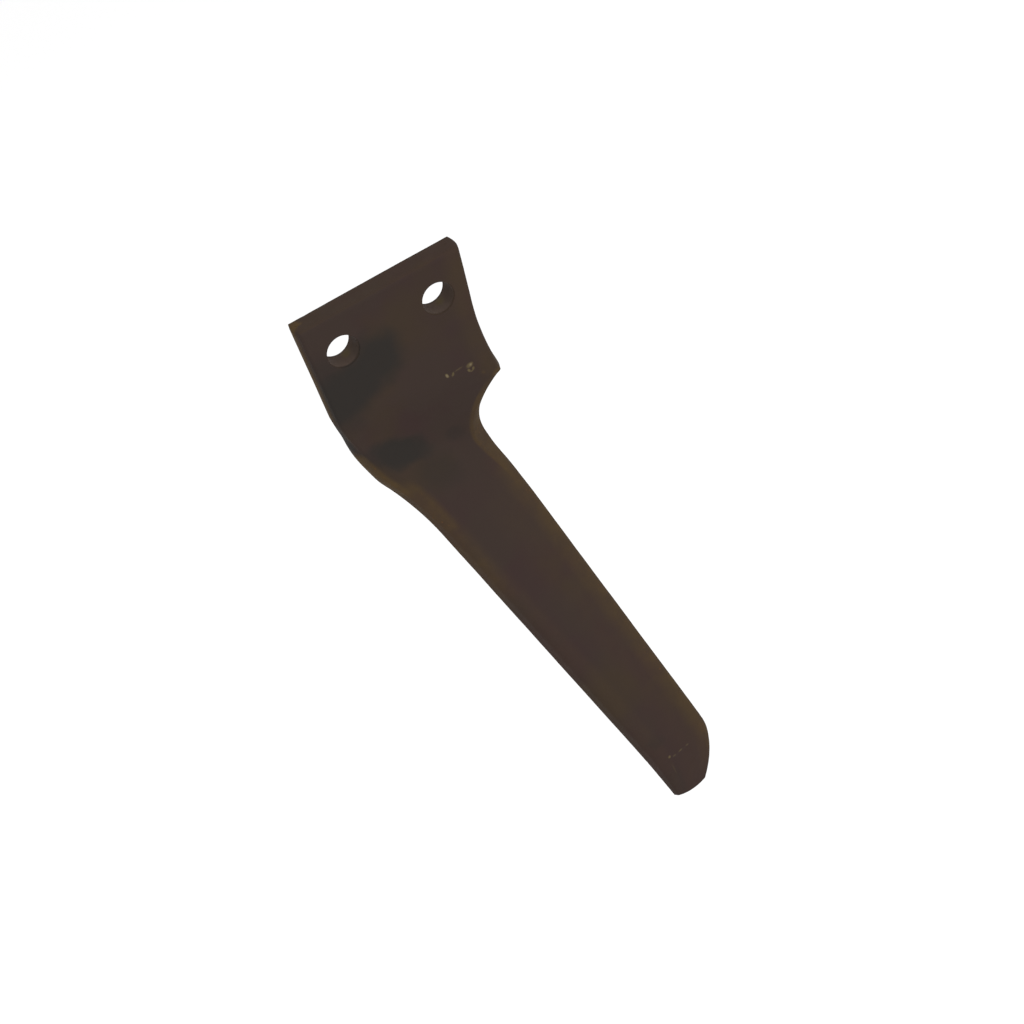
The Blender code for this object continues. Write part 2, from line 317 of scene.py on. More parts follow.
@dataclass(frozen=True)
class Flanks:
    """Both long sides: waist, horn and notch on the right, bend, knee and hollow on the left."""

    waist_inset: float = 5.7 * MM
    waist_drop: float = 35.0 * MM
    waist_radius: float = 175.0 * MM
    horn_inset: float = 0.8 * MM
    horn_drop: float = 58.9 * MM
    horn_radius: float = 0.4 * MM
    notch_depth: float = 22.7 * MM
    notch_drop: float = 16.8 * MM
    notch_radius: float = 39.0 * MM
    shoulder_out: float = 39.7 * MM
    shoulder_drop: float = 123.2 * MM
    shoulder_radius: float = 99.0 * MM
    bend_in: float = 1.3 * MM
    bend_drop: float = 44.2 * MM
    bend_radius: float = 51.0 * MM
    knee_in: float = 15.5 * MM
    knee_drop: float = 85.5 * MM
    knee_radius: float = 35.0 * MM
    hollow_in: float = 28.5 * MM
    hollow_drop: float = 108.6 * MM
    hollow_radius: float = 205.0 * MM

    def left(self, head: HeadPlate, blade: Blade) -> Array:
        """Left side from the top to the blade's point.

        Args:
            head: Sizes of the head.
            blade: Sizes of the blade.

        Returns:
            Points as (x, z).
        """
        hollow = (head.left + self.hollow_in, -self.hollow_drop)
        length = blade.drop - self.hollow_drop
        corners = [
            (head.left, head.hole_to_top),
            (head.left + self.bend_in, -self.bend_drop),
            (head.left + self.knee_in, -self.knee_drop),
            hollow,
            (hollow[0] + length * math.tan(blade.left_lean), -blade.drop),
        ]
        return filleted(corners, [self.bend_radius, self.knee_radius, self.hollow_radius])

    def right(self, head: HeadPlate, blade: Blade, point: Array) -> Array:
        """Right side from the top to the corner where the blade's end starts.

        Args:
            head: Sizes of the head.
            blade: Sizes of the blade.
            point: The blade's point, where the left side ends.

        Returns:
            Points as (x, z).
        """
        horn = np.array((head.right - self.horn_inset, -self.horn_drop))
        shoulder = np.array((self.shoulder_out, -self.shoulder_drop))
        length = blade.tip_shoulder_drop - self.shoulder_drop
        slope = np.array((math.cos(blade.tip_slope), -math.sin(blade.tip_slope)))
        corners = [
            (head.right - head.corner_radius, head.hole_to_top),
            (head.right, head.hole_to_top),
            (head.right - self.waist_inset, -self.waist_drop),
            horn,
            horn + (-self.notch_depth, -self.notch_drop),
            shoulder,
            shoulder + (length * math.tan(blade.right_lean), -length),
            point + blade.tip_width * slope,
        ]
        head_radii = [head.corner_radius, self.waist_radius, self.horn_radius, self.notch_radius]
        return filleted(corners, head_radii + [self.shoulder_radius, blade.tip_shoulder_radius])


@dataclass(frozen=True)
class Crank:
    """How the front face dips below the head and comes forward again as the twisted blade."""

    crease_drop: float = 45.2 * MM
    crease_slope: float = math.radians(7.7)
    crease_radius: float = 30.0 * MM
    neck_dip: float = math.radians(20.0)
    valley_drop: float = 84.0 * MM
    valley_radius: float = 18.0 * MM
    twist: float = math.radians(21.6)
    rake: float = math.radians(18.7)

    def front(self, x: Array, z: Array) -> Array:
        """y of the front face.

        Args:
            x: Places along the holes.
            z: Heights.

        Returns:
            y at each place.
        """
        dip = math.tan(self.neck_dip)
        below = -self.crease_drop - x * math.tan(self.crease_slope) - z
        below = below * math.cos(self.crease_slope)
        valley = (self.valley_drop - self.crease_drop) * math.cos(self.crease_slope) * dip - BAR
        blade = valley + x * math.tan(self.twist) + (z + self.valley_drop) * math.tan(self.rake)
        turn = math.hypot(math.tan(self.twist), math.tan(self.rake) + dip)
        sunk = larger(-BAR, below * dip - BAR, self.crease_radius * dip**2 / 2)
        return -larger(-sunk, -blade, self.valley_radius * turn**2 / 2)

    def inward(self, x: Array, z: Array) -> Array:
        """Direction square to the front face, into the bar.

        Args:
            x: Places along the holes.
            z: Heights.

        Returns:
            Unit vectors, one row each.
        """
        step = 0.2 * MM
        slope_x = (self.front(x + step, z) - self.front(x - step, z)) / (2 * step)
        slope_z = (self.front(x, z + step) - self.front(x, z - step)) / (2 * step)
        way = np.stack((-slope_x, np.ones_like(slope_x), -slope_z), axis=-1)
        return way / np.linalg.norm(way, axis=-1, keepdims=True)

    def place(self, x: Array, z: Array, depth: Array) -> Array:
        """Points at a depth behind the front face, measured square to it, one row each."""
        on_front = np.stack((x, self.front(x, z), z), axis=-1)
        return on_front + np.asarray(depth)[..., None] * self.inward(x, z)


@dataclass(frozen=True)
class EdgeSizes:
    """Edges of one section: front widths and depth, back radius, swell of the sides, flatness."""

    left: float
    right: float
    depth: float
    back: float
    bulge: float
    flatness: float

    def front_edge(self, width: float, steps: int) -> Array:
        """Section of a front edge, from the side face to the broad face.

        Args:
            width: How far it reaches over the broad face.
            steps: Steps along it.

        Returns:
            Points as (inward, depth).
        """
        share = np.linspace(0.0, 1.0, steps + 1)
        angle = share * math.pi / 2
        inward = (1 - self.flatness) * (1 - np.cos(angle)) + self.flatness * share
        down = (1 - self.flatness) * (1 - np.sin(angle)) + self.flatness * (1 - share)
        return np.stack((width * inward, self.depth * down), axis=-1)

    def back_edge(self, steps: int) -> Array:
        """Section of a back edge, from the side face to the broad face, as (inward, forward)."""
        angle = np.linspace(0.0, math.pi / 2, steps + 1)
        return self.back * np.stack((1 - np.cos(angle), 1 - np.sin(angle)), axis=-1)


@dataclass(frozen=True)
class RolledEdges:
    """Rounding and bevels along the neck and the blade."""

    knee_bevel: float = 6.5 * MM
    notch_bevel: float = 7.5 * MM
    bevel_depth: float = 5.0 * MM
    bevel_middle_drop: float = 98.0 * MM
    bevel_reach: float = 26.0 * MM
    blade_left: float = 5.0 * MM
    blade_right: float = 6.5 * MM
    low_left: float = 8.0 * MM
    low_start: float = 170.0 * MM
    low_full: float = 270.0 * MM
    back: float = 3.0 * MM

    def at(self, drop: float, start: float, head: HeadPlate, shrink: float) -> EdgeSizes:
        """Edge sizes at a drop below the holes.

        Args:
            drop: Distance below the holes.
            start: Drop at which the head's edges start to widen.
            head: Sizes of the head.
            shrink: Share that is left of every edge where an end thins the bar.

        Returns:
            The sizes there.
        """
        root = math.exp(-(((drop - self.bevel_middle_drop) / self.bevel_reach) ** 2))
        blade = float(rise(start, self.bevel_middle_drop, drop))
        low = float(rise(self.low_start, self.low_full, drop))
        blade_left = self.blade_left + (self.low_left - self.blade_left) * low

        def sized(at_head: float, at_blade: float, at_root: float = 0.0) -> float:
            """Mixes the sizes on the head, on the blade and at the neck's root."""
            return (at_head + (at_blade - at_head) * blade + at_root * root) * shrink

        return EdgeSizes(
            left=sized(head.front_radius, blade_left, self.knee_bevel - self.blade_left),
            right=sized(head.front_radius, self.blade_right, self.notch_bevel - self.blade_right),
            depth=sized(head.front_radius, self.bevel_depth),
            back=sized(head.back_radius, self.back),
            bulge=sized(head.side_bulge, 0.0),
            flatness=root,
        )


@dataclass(frozen=True)
class Fineness:
    """How finely the visible skin is divided."""

    row: float = 1.1 * MM
    fine_row: float = 0.6 * MM
    fine_end: float = 36.0 * MM
    horn_row: float = 0.37 * MM
    horn_rows: int = 16
    front: int = 88
    back: int = 40
    front_edge: int = 9
    back_edge: int = 5
    side: int = 6
    top: int = 6
    cap: int = 5
    cap_share: float = 0.9
    cap_inset: float = 0.04
    least_edge: float = 0.02
    closest: float = 0.02 * MM
    sliver: float = 1e-7


@dataclass(frozen=True)
class Form:
    """The tine's whole form as loops of points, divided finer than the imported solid."""

    head: HeadPlate = field(default_factory=HeadPlate)
    blade: Blade = field(default_factory=Blade)
    flanks: Flanks = field(default_factory=Flanks)
    crank: Crank = field(default_factory=Crank)
    edges: RolledEdges = field(default_factory=RolledEdges)
    fineness: Fineness = field(default_factory=Fineness)

    @property
    def length(self) -> float:
        """Height from the top of the head to the blade's point."""
        return self.head.hole_to_top + self.blade.drop

    def shares(self) -> Array:
        """Shares of the length with a loop of points: closer at the top, the horn and the tip."""
        fine, high = self.fineness, self.head.front_radius
        low = self.length - fine.fine_end
        top = high * (1 - np.cos(np.arange(fine.top) / fine.top * math.pi / 2))
        middle = np.linspace(high, low, round((low - high) / fine.row))
        end = np.linspace(low, self.length, round(fine.fine_end / fine.fine_row))
        steps = np.arange(fine.horn_rows) - (fine.horn_rows - 1) / 2
        horn = self.head.hole_to_top + self.flanks.horn_drop + fine.horn_row * steps
        return np.sort(np.concatenate((top, middle, end[1:], horn))) / self.length

    def side_at(self, side: Array, share: float) -> Triple:
        """Where a side is at a share of its length.

        Args:
            side: Outline of the side.
            share: Share of the length, 0 at the top.

        Returns:
            x, z, and how much longer than its height the side is there.
        """
        z = self.head.hole_to_top - share * (self.head.hole_to_top - side[-1, 1])
        near = np.interp(-z + np.array((-MM, 0.0, MM)), -side[:, 1], side[:, 0])
        return near[1], z, math.hypot(1.0, (near[2] - near[0]) / (2 * MM))

    def loop(self, share: float, sides: tuple[Array, Array]) -> Array:
        """One loop of points round the bar.

        Args:
            share: Share of the length, 0 at the top.
            sides: Outlines of the left and the right side.

        Returns:
            Rows of x, z, depth behind the front face, and distances inward from both edges.
        """
        head, fine = self.head, self.fineness
        left_x, left_z, left_slant = self.side_at(sides[0], share)
        right_x, right_z, right_slant = self.side_at(sides[1], share)
        width = right_x - left_x
        facet = self.blade.facet(-left_z)
        thickness = BAR - facet * (BAR - self.blade.tip_thickness)
        front_in = rounding(head.front_radius, head.hole_to_top - left_z)
        back_in = rounding(head.back_radius, head.hole_to_top - left_z)
        shrink = max(1 - front_in / head.front_radius, fine.least_edge)
        shrink *= 1 - facet * self.blade.facet_crispness
        sizes = self.edges.at(-left_z, self.flanks.horn_drop, head, shrink)
        front_left = sizes.front_edge(sizes.left * left_slant, fine.front_edge) + front_in
        front_right = sizes.front_edge(sizes.right * right_slant, fine.front_edge)[::-1]
        front_right = front_right * (-1, 1) + (width - front_in, front_in)
        back_right = sizes.back_edge(fine.back_edge) * -1 + (width - back_in, thickness - back_in)
        back_left = sizes.back_edge(fine.back_edge)[::-1] * (1, -1) + (back_in, thickness - back_in)
        pieces = [
            front_left,
            between(front_left[-1], front_right[0], fine.front),
            front_right,
            between(front_right[-1], back_right[0], fine.side, sizes.bulge),
            back_right,
            between(back_right[-1], back_left[0], fine.back),
            back_left,
            between(back_left[-1], front_left[0], fine.side, -sizes.bulge),
        ]
        points = np.concatenate(pieces)
        t = points[:, 0] / width
        z = left_z + t * (right_z - left_z) - facet * self.blade.tip_bulge * 4 * t * (1 - t)
        steps = np.linalg.norm(np.diff(points, axis=0, append=points[:1]), axis=1)
        run, whole = np.concatenate(((0.0,), np.cumsum(steps)[:-1])), steps.sum()
        edges = (1, len(front_left) // 2), (-1, len(front_left) * 3 // 2 + fine.front - 1)
        gaps = [way * ((run - run[k] + whole / 2) % whole - whole / 2) for way, k in edges]
        return np.stack((left_x + points[:, 0], z, BAR - thickness + points[:, 1], *gaps), axis=-1)

    def closing(self, loop: Array) -> list[Array]:
        """Loops that narrow an end by moving its points towards the middle of the bar's depth.

        Args:
            loop: The end's own loop.

        Returns:
            Loops from the end's rim to a slit along its middle.
        """
        fine = self.fineness
        middle = (loop.min(axis=0) + loop.max(axis=0)) / 2
        loops = []
        for step in range(1, fine.cap + 1):
            inner = loop.copy()
            inner[:, 0] += (middle[0] - inner[:, 0]) * fine.cap_inset * step / fine.cap
            inner[:, 2] += (middle[2] - inner[:, 2]) * fine.cap_share * step / fine.cap
            loops.append(inner)
        return loops

    def bar(self, stretches: tuple["Stretch", ...]) -> bpy.types.Object:
        """The forged bar without its holes.

        Args:
            stretches: Where the paint along the edges is worn or stained, and where light and shade
                are painted along them.

        Returns:
            The object, with its paint's wear and painted light and shade stored for each vertex.
        """
        left = self.flanks.left(self.head, self.blade)
        sides = (left, self.flanks.right(self.head, self.blade, left[-1]))
        loops = [self.loop(float(share), sides) for share in self.shares()]
        rows = np.array(self.closing(loops[0])[::-1] + loops + self.closing(loops[-1]))
        flat = rows.reshape(-1, rows.shape[2])
        points = self.crank.place(flat[:, 0], flat[:, 1], flat[:, 2])
        data = bpy.data.meshes.new("tine_bar")
        data.from_pydata(points.tolist(), [], tube(*rows.shape[:2]).tolist())
        for wear in (WearAndLight.THINNED, WearAndLight.STAINED):
            weights = [part.weight(flat) for part in stretches if part.wear is wear]
            store(data, wear.name.lower(), np.max(weights, axis=0))
        mesh = bmesh.new()
        mesh.from_mesh(data)
        bmesh.ops.remove_doubles(mesh, verts=mesh.verts, dist=self.fineness.closest)
        ends = bmesh.ops.holes_fill(mesh, edges=mesh.edges)["faces"]
        bmesh.ops.triangulate(mesh, faces=ends)
        bmesh.ops.dissolve_degenerate(mesh, edges=mesh.edges, dist=self.fineness.sliver)
        bmesh.ops.recalc_face_normals(mesh, faces=mesh.faces)
        mesh.to_mesh(data)
        mesh.free()
        return placed("tine_bar", data)


@dataclass(frozen=True)
class Stretch:
    """A stretch along one front edge with thinned or stained paint, painted light or painted shade,
    in millimetres.

    It runs between two drops below the holes, from outer, down the side, to inner, over the front.
    """

    wear: WearAndLight
    side: Side
    start: float
    stop: float
    outer: float
    inner: float
    strength: float
    fade: float = 8.0
    blur: float = 1.0

    def weight(self, rows: Array) -> Array:
        """How strongly the stretch touches each point of the bar's loops.

        Args:
            rows: Rows as Form.loop gives them.

        Returns:
            Weights from 0 to the stretch's strength.
        """
        drop, gap = -rows[:, 1] / MM, rows[:, self.side.value] / MM
        fading = partial(rise, -self.fade, self.fade)
        blurring = partial(rise, -self.blur, self.blur)
        along = fading(drop - self.start) * fading(self.stop - drop)
        across = blurring(gap - self.outer) * blurring(self.inner - gap)
        return self.strength * along * across


@dataclass(frozen=True)
class Mark:
    """A rubbed, stained or dented spot, a painted highlight or painted shade, on the front face or
    at a depth behind it.

    Places and lengths are in millimetres, the slant is in degrees. A dent's strength is its depth.
    """

    wear: WearAndLight
    x: float
    z: float
    reach: float
    strength: float = 1.0
    stretch: float = 1.0
    slant: float = 0.0
    depth: float = 0.0
    through: float = 1.0
    softness: float = 0.7

    def middle(self, crank: Crank) -> Array:
        """The mark's middle on the tine of a given form."""
        return crank.place(*(np.array(length * MM) for length in (self.x, self.z, self.depth)))

    @property
    def spans(self) -> Triple:
        """How far the mark reaches along its slant, through the bar and across its slant."""
        reach = self.reach * MM
        return reach * self.stretch, reach * self.through, reach

    def weight(self, points: Array, crank: Crank) -> Array:
        """How strongly the mark touches each point.

        Args:
            points: Points of the forging, one row each.
            crank: The form that the mark sits on.

        Returns:
            Weights from 0 to the mark's strength.
        """
        offset = points - self.middle(crank)
        cos, sin = math.cos(math.radians(self.slant)), math.sin(math.radians(self.slant))
        along = offset[:, 0] * cos + offset[:, 2] * sin
        across = offset[:, 2] * cos - offset[:, 0] * sin
        parts = zip((along, offset[:, 1], across), self.spans)
        return self.strength * np.exp(-sum((part / span) ** 2 for part, span in parts))


class NodeSketch:
    """Adds and joins nodes in a node tree, one small step for each call."""

    def __init__(self, tree: bpy.types.NodeTree) -> None:
        """Remembers the tree to draw in."""
        self.tree = tree

    def feed(self, node: bpy.types.Node, feeds: dict[str | int, object]) -> bpy.types.Node:
        """Feeds sockets, numbers or colours into a node's inputs.

        Args:
            node: The node.
            feeds: What goes into which input, by its name or number.

        Returns:
            The node.
        """
        for name, value in feeds.items():
            slot = node.inputs[name]
            if isinstance(value, bpy.types.NodeSocket):
                self.tree.links.new(value, slot)
            elif isinstance(value, tuple) and slot.type == "RGBA":
                slot.default_value = (*value, 1.0)
            else:
                slot.default_value = value
        return node

    def add(
        self, kind: str, feeds: dict[str | int, object] | None = None, **options: str
    ) -> bpy.types.Node:
        """Adds a node.

        Args:
            kind: Its type.
            feeds: What goes into which input, by its name or number.
            options: Its settings, such as the operation.

        Returns:
            The node.
        """
        node = self.tree.nodes.new(kind)
        for name, option in options.items():
            setattr(node, name, option)
        return self.feed(node, feeds or {})

    def math(self, operation: str, first: object, second: object) -> Socket:
        """The result of a math operation on two values, each a socket or a number."""
        return self.add("ShaderNodeMath", {0: first, 1: second}, operation=operation).outputs[0]

    def product(self, *values: object) -> Socket:
        """All the values multiplied, in order."""
        return reduce(partial(self.math, "MULTIPLY"), values)

    def largest(self, *values: object) -> Socket:
        """The largest of the values."""
        return reduce(partial(self.math, "MAXIMUM"), values)

    def span(self, value: Socket, low: float, high: float, to: Range = (0.0, 1.0)) -> Socket:
        """Maps the range from low to high smoothly onto another range."""
        ends = {"Value": value, "From Min": low, "From Max": high, "To Min": to[0], "To Max": to[1]}
        return self.add("ShaderNodeMapRange", ends, interpolation_type="SMOOTHSTEP").outputs[0]

    def noise(self, place: Socket, scale: object, detail: float, roughness: float = 0.5) -> Socket:
        """Noise round 0.5: scale is lumps for each metre, detail and roughness its finer layers."""
        feeds = {"Vector": place, "Scale": scale, "Detail": detail, "Roughness": roughness}
        return self.add("ShaderNodeTexNoise", feeds).outputs[0]

    def mix(self, share: Socket, below: object, above: object) -> Socket:
        """Mixes two colours.

        Args:
            share: 0 for the first, 1 for the second.
            below: First colour.
            above: Second colour.

        Returns:
            The mixed colour.
        """
        node = self.add("ShaderNodeMix", {0: share}, data_type="RGBA")
        colours = [number for number, slot in enumerate(node.inputs) if slot.type == "RGBA"]
        self.feed(node, dict(zip(colours, (below, above))))
        return next(slot for slot in node.outputs if slot.type == "RGBA")

    def stored(self, name: str) -> Socket:
        """Reads a value that the piece's own mesh carries, as store() left it."""
        return self.add("ShaderNodeAttribute", attribute_name=name).outputs["Fac"]


@dataclass(frozen=True)
class Pattern:
    """Noise cut to a range, which becomes another range."""

    scale: float
    detail: float
    low: float
    high: float
    roughness: float = 0.5
    to: Range = (0.0, 1.0)


class PaintSketch(NodeSketch):
    """Draws a paint's fields from object coordinates, the marks and the piece's own values of wear
    and painted light and shade.
    """

    def __init__(self, tree: bpy.types.NodeTree, marks: tuple[Mark, ...], crank: Crank) -> None:
        """Remembers the marks and the form that they sit on, and adds the coordinates."""
        super().__init__(tree)
        self.marks = marks
        self.crank = crank
        self.place = self.add("ShaderNodeTexCoord").outputs["Object"]

    def pattern(self, pattern: Pattern) -> Socket:
        """The field of a pattern over the whole piece."""
        noise = self.noise(self.place, pattern.scale, pattern.detail, pattern.roughness)
        return self.span(noise, pattern.low, pattern.high, pattern.to)

    def ragged(self, scale: float, reach: float) -> Socket:
        """Coordinates pushed about by noise, so that marks get ragged outlines.

        Args:
            scale: Lumps for each metre.
            reach: How far a point is pushed at most.

        Returns:
            The pushed coordinates.
        """
        noise = self.add("ShaderNodeTexNoise", {"Vector": self.place, "Scale": scale})
        halves = {0: noise.outputs["Color"], 1: (0.5, 0.5, 0.5)}
        centred = self.add("ShaderNodeVectorMath", halves, operation="SUBTRACT")
        pushed = {0: centred.outputs[0], 1: (2 * reach,) * 3, 2: self.place}
        return self.add("ShaderNodeVectorMath", pushed, operation="MULTIPLY_ADD").outputs[0]

    def spot(self, place: Socket, mark: Mark) -> Socket:
        """The field of one mark: its strength at the middle, 0 beyond its reach.

        Args:
            place: Coordinates that it reads.
            mark: The mark.

        Returns:
            The field.
        """
        feeds = {
            "Vector": place,
            "Location": tuple(mark.middle(self.crank)),
            "Rotation": (0.0, -math.radians(mark.slant), 0.0),
            "Scale": mark.spans,
        }
        mapping = self.add("ShaderNodeMapping", feeds, vector_type="TEXTURE")
        reach = self.add("ShaderNodeVectorMath", {0: mapping.outputs[0]}, operation="LENGTH")
        return self.span(reach.outputs["Value"], 1.0 - mark.softness, 1.0, (mark.strength, 0.0))

    def field(self, place: Socket, wear: WearAndLight) -> Socket:
        """The strongest of all marks of one kind at each place."""
        return self.largest(*(self.spot(place, mark) for mark in self.marks if mark.wear is wear))

    def touched(self, place: Socket, wear: WearAndLight) -> Socket:
        """Where marks or edge stretches of one kind touch the paint, whichever is stronger."""
        return self.largest(self.field(place, wear), self.stored(wear.name.lower()))


@dataclass(frozen=True)
class ForgedSkin:
    """The unevenness that dies and scale leave, pressed into the surface by Geometry Nodes."""

    wave_height: float = 0.34 * MM
    wave_size: float = 24.0 * MM
    grain_height: float = 0.07 * MM
    grain_size: float = 3.4 * MM
    pit_depth: float = 0.20 * MM
    pit_size: float = 8.0 * MM
    seed: float = 11.0
    PIT_EDGE: ClassVar[Range] = (0.04, 0.16)
    PIT_PLACES: ClassVar[Range] = (0.54, 0.60)

    def values(self) -> dict[str, float]:
        """The tree's inputs by name, such as Wave Height."""
        names = [size.name for size in fields(self)]
        return {name.replace("_", " ").title(): getattr(self, name) for name in names}

    def attach(self, piece: bpy.types.Object, finish: bpy.types.Material) -> None:
        """Adds the tree to a piece, with this skin's sizes.

        Args:
            piece: Object that gets the skin.
            finish: Material that the tree sets.
        """
        tree = bpy.data.node_groups.new("forged_skin", "GeometryNodeTree")
        new = tree.interface.new_socket
        for way in ("INPUT", "OUTPUT"):
            new(name="Geometry", in_out=way, socket_type="NodeSocketGeometry")
        slots = {}
        for name in self.values():
            slots[name] = new(name=name, in_out="INPUT", socket_type="NodeSocketFloat").identifier
        self.draw(tree, finish)
        skin = piece.modifiers.new("forged_skin", "NODES")
        skin.node_group = tree
        for name, value in self.values().items():
            skin[slots[name]] = value

    def draw(self, tree: bpy.types.NodeTree, finish: bpy.types.Material) -> None:
        """Draws the nodes: waves, grain and a few pits push the surface in along its normal.

        Args:
            tree: Tree with its inputs and output made.
            finish: Material that the tree sets.
        """
        sketch = NodeSketch(tree)
        sizes = sketch.add("NodeGroupInput").outputs
        position = sketch.add("GeometryNodeInputPosition").outputs[0]
        place = sketch.add("ShaderNodeVectorMath", {0: position, 1: sizes["Seed"]}).outputs[0]

        def lumps(size: str, detail: float) -> Socket:
            """Noise whose lumps have the size of a named input."""
            return sketch.noise(place, sketch.math("DIVIDE", 1.0, sizes[size]), detail)

        wave = sketch.product(lumps("Wave Size", 1.5), sizes["Wave Height"])
        grain = sketch.product(lumps("Grain Size", 3.0), sizes["Grain Height"])
        density = sketch.math("DIVIDE", 1.0, sizes["Pit Size"])
        cells = sketch.add("ShaderNodeTexVoronoi", {"Vector": place, "Scale": density})
        near = sketch.span(cells.outputs["Distance"], *self.PIT_EDGE, (1.0, 0.0))
        some = sketch.span(lumps("Pit Size", 1.0), *self.PIT_PLACES)
        pits = sketch.product(near, some, sizes["Pit Depth"])
        skin = sketch.add("GeometryNodeInputNamedAttribute", {"Name": "skin"}, data_type="FLOAT")
        total = sketch.math("ADD", sketch.math("ADD", wave, grain), pits)
        inward = sketch.product(total, skin.outputs[0], -1.0)
        normal = sketch.add("GeometryNodeInputNormal").outputs[0]
        push = sketch.add("ShaderNodeVectorMath", {0: normal, "Scale": inward}, operation="SCALE")
        moved = {"Geometry": sizes["Geometry"], "Offset": push.outputs[0]}
        shift = sketch.add("GeometryNodeSetPosition", moved)
        realize = sketch.add("GeometryNodeRealizeInstances", {0: shift.outputs[0]})
        painted = {"Geometry": realize.outputs[0], "Material": finish}
        paint = sketch.add("GeometryNodeSetMaterial", painted)
        sketch.add("NodeGroupOutput", {0: paint.outputs[0]})


@dataclass(frozen=True)
class DarkPaint:
    """Thin dark brown paint over forged steel: mottled, stained and worn warm along the edges, with
    painted shade, painted highlights and painted light on edges and holes' walls.
    """

    body: Colour = (0.0465, 0.0325, 0.0272)
    plum: Colour = (0.0465, 0.0300, 0.0272)
    olive: Colour = (0.0490, 0.0340, 0.0245)
    # Dark stain colour, also used as painted shade.
    stain: Colour = (0.0312, 0.0268, 0.0238)
    # Painted light on the holes' walls, lifting them against their own shade.
    bore: Colour = (0.1030, 0.0740, 0.0590)
    # Warm thin-paint colour, also used as painted light along the edges.
    thin: Colour = (0.0790, 0.0510, 0.0245)
    speck: Colour = (0.1300, 0.0600, 0.0260)
    brass: Colour = (0.1080, 0.0820, 0.0430)
    steel: Colour = (0.1800, 0.1420, 0.0900)
    specular: float = 0.02
    dull: Pattern = Pattern(140.0, 4.0, 0.30, 0.70, 0.6, (0.55, 0.69))
    plum_places: Pattern = Pattern(26.0, 2.0, 0.40, 0.60)
    olive_places: Pattern = Pattern(17.0, 3.0, 0.47, 0.64)
    thin_places: Pattern = Pattern(110.0, 4.0, 0.28, 0.70, 0.6, (0.55, 1.0))
    specks: Pattern = Pattern(760.0, 2.0, 0.62, 0.70)
    speck_places: Pattern = Pattern(130.0, 2.0, 0.50, 0.60)
    speck_wear: Range = (0.5, 0.9)
    brass_wear: Range = (0.0, 0.5)
    steel_wear: Range = (0.4, 1.0)
    wide_outline: Range = (90.0, 4.5 * MM)
    tight_outline: Range = (1400.0, 0.3 * MM)
    grain: Triple = (1100.0, 4.0, 0.62)
    grain_height: float = 0.08 * MM
    grain_strength: float = 0.4

    def material(self, marks: tuple[Mark, ...], crank: Crank) -> bpy.types.Material:
        """Builds the finish from object coordinates, the marks and the piece's own values of wear
        and painted light and shade.

        Args:
            marks: All marks; the dents don't show in the paint.
            crank: The form that they sit on.

        Returns:
            The material.
        """
        finish = bpy.data.materials.new("dark_paint")
        finish.use_nodes = True
        sketch = PaintSketch(finish.node_tree, marks, crank)
        wide = sketch.ragged(*self.wide_outline)
        # Rubbed nicks, and painted highlights in the holes and along the tip's lip.
        rubs_and_highlights = sketch.field(sketch.ragged(*self.tight_outline), WearAndLight.RUBBED)
        # Stains and painted shade.
        colour = sketch.mix(sketch.touched(wide, WearAndLight.STAINED), self.mottled(sketch), self.stain)
        # Painted light on the holes' walls, darker towards their right as painted shade.
        colour = sketch.mix(sketch.stored("bore"), colour, self.bore)
        # Worn paint and painted light along the edges.
        colour = self.worn(sketch, sketch.touched(wide, WearAndLight.THINNED), colour)
        colour = sketch.mix(sketch.span(rubs_and_highlights, *self.brass_wear), colour, self.brass)
        colour = sketch.mix(sketch.span(rubs_and_highlights, *self.steel_wear), colour, self.steel)
        grain = {"Strength": self.grain_strength, "Distance": self.grain_height}
        grain["Height"] = sketch.noise(sketch.place, *self.grain)
        feeds = {
            "Base Color": colour,
            "Roughness": sketch.pattern(self.dull),
            "Specular IOR Level": self.specular,
            "Normal": sketch.add("ShaderNodeBump", grain).outputs[0],
        }
        sketch.feed(finish.node_tree.nodes["Principled BSDF"], feeds)
        return finish

    def mottled(self, sketch: PaintSketch) -> Socket:
        """The paint's own patches of plum and olive."""
        colour = sketch.mix(sketch.pattern(self.plum_places), self.body, self.plum)
        return sketch.mix(sketch.pattern(self.olive_places), colour, self.olive)

    def worn(self, sketch: PaintSketch, thinned_and_lit_share: Socket, colour: Socket) -> Socket:
        """Lightens the paint where it is worn thin and where light is painted, with a few small
        specks where it is gone.

        Args:
            sketch: Where to draw.
            thinned_and_lit_share: How much the paint is worn, with the painted light along the
                edges.
            colour: The paint's colour so far.

        Returns:
            The colour with its wear and painted light.
        """
        patches = sketch.product(thinned_and_lit_share, sketch.pattern(self.thin_places))
        bare = [sketch.pattern(pattern) for pattern in (self.specks, self.speck_places)]
        bare = sketch.product(*bare, sketch.span(thinned_and_lit_share, *self.speck_wear))
        return sketch.mix(bare, sketch.mix(patches, colour, self.thin), self.speck)


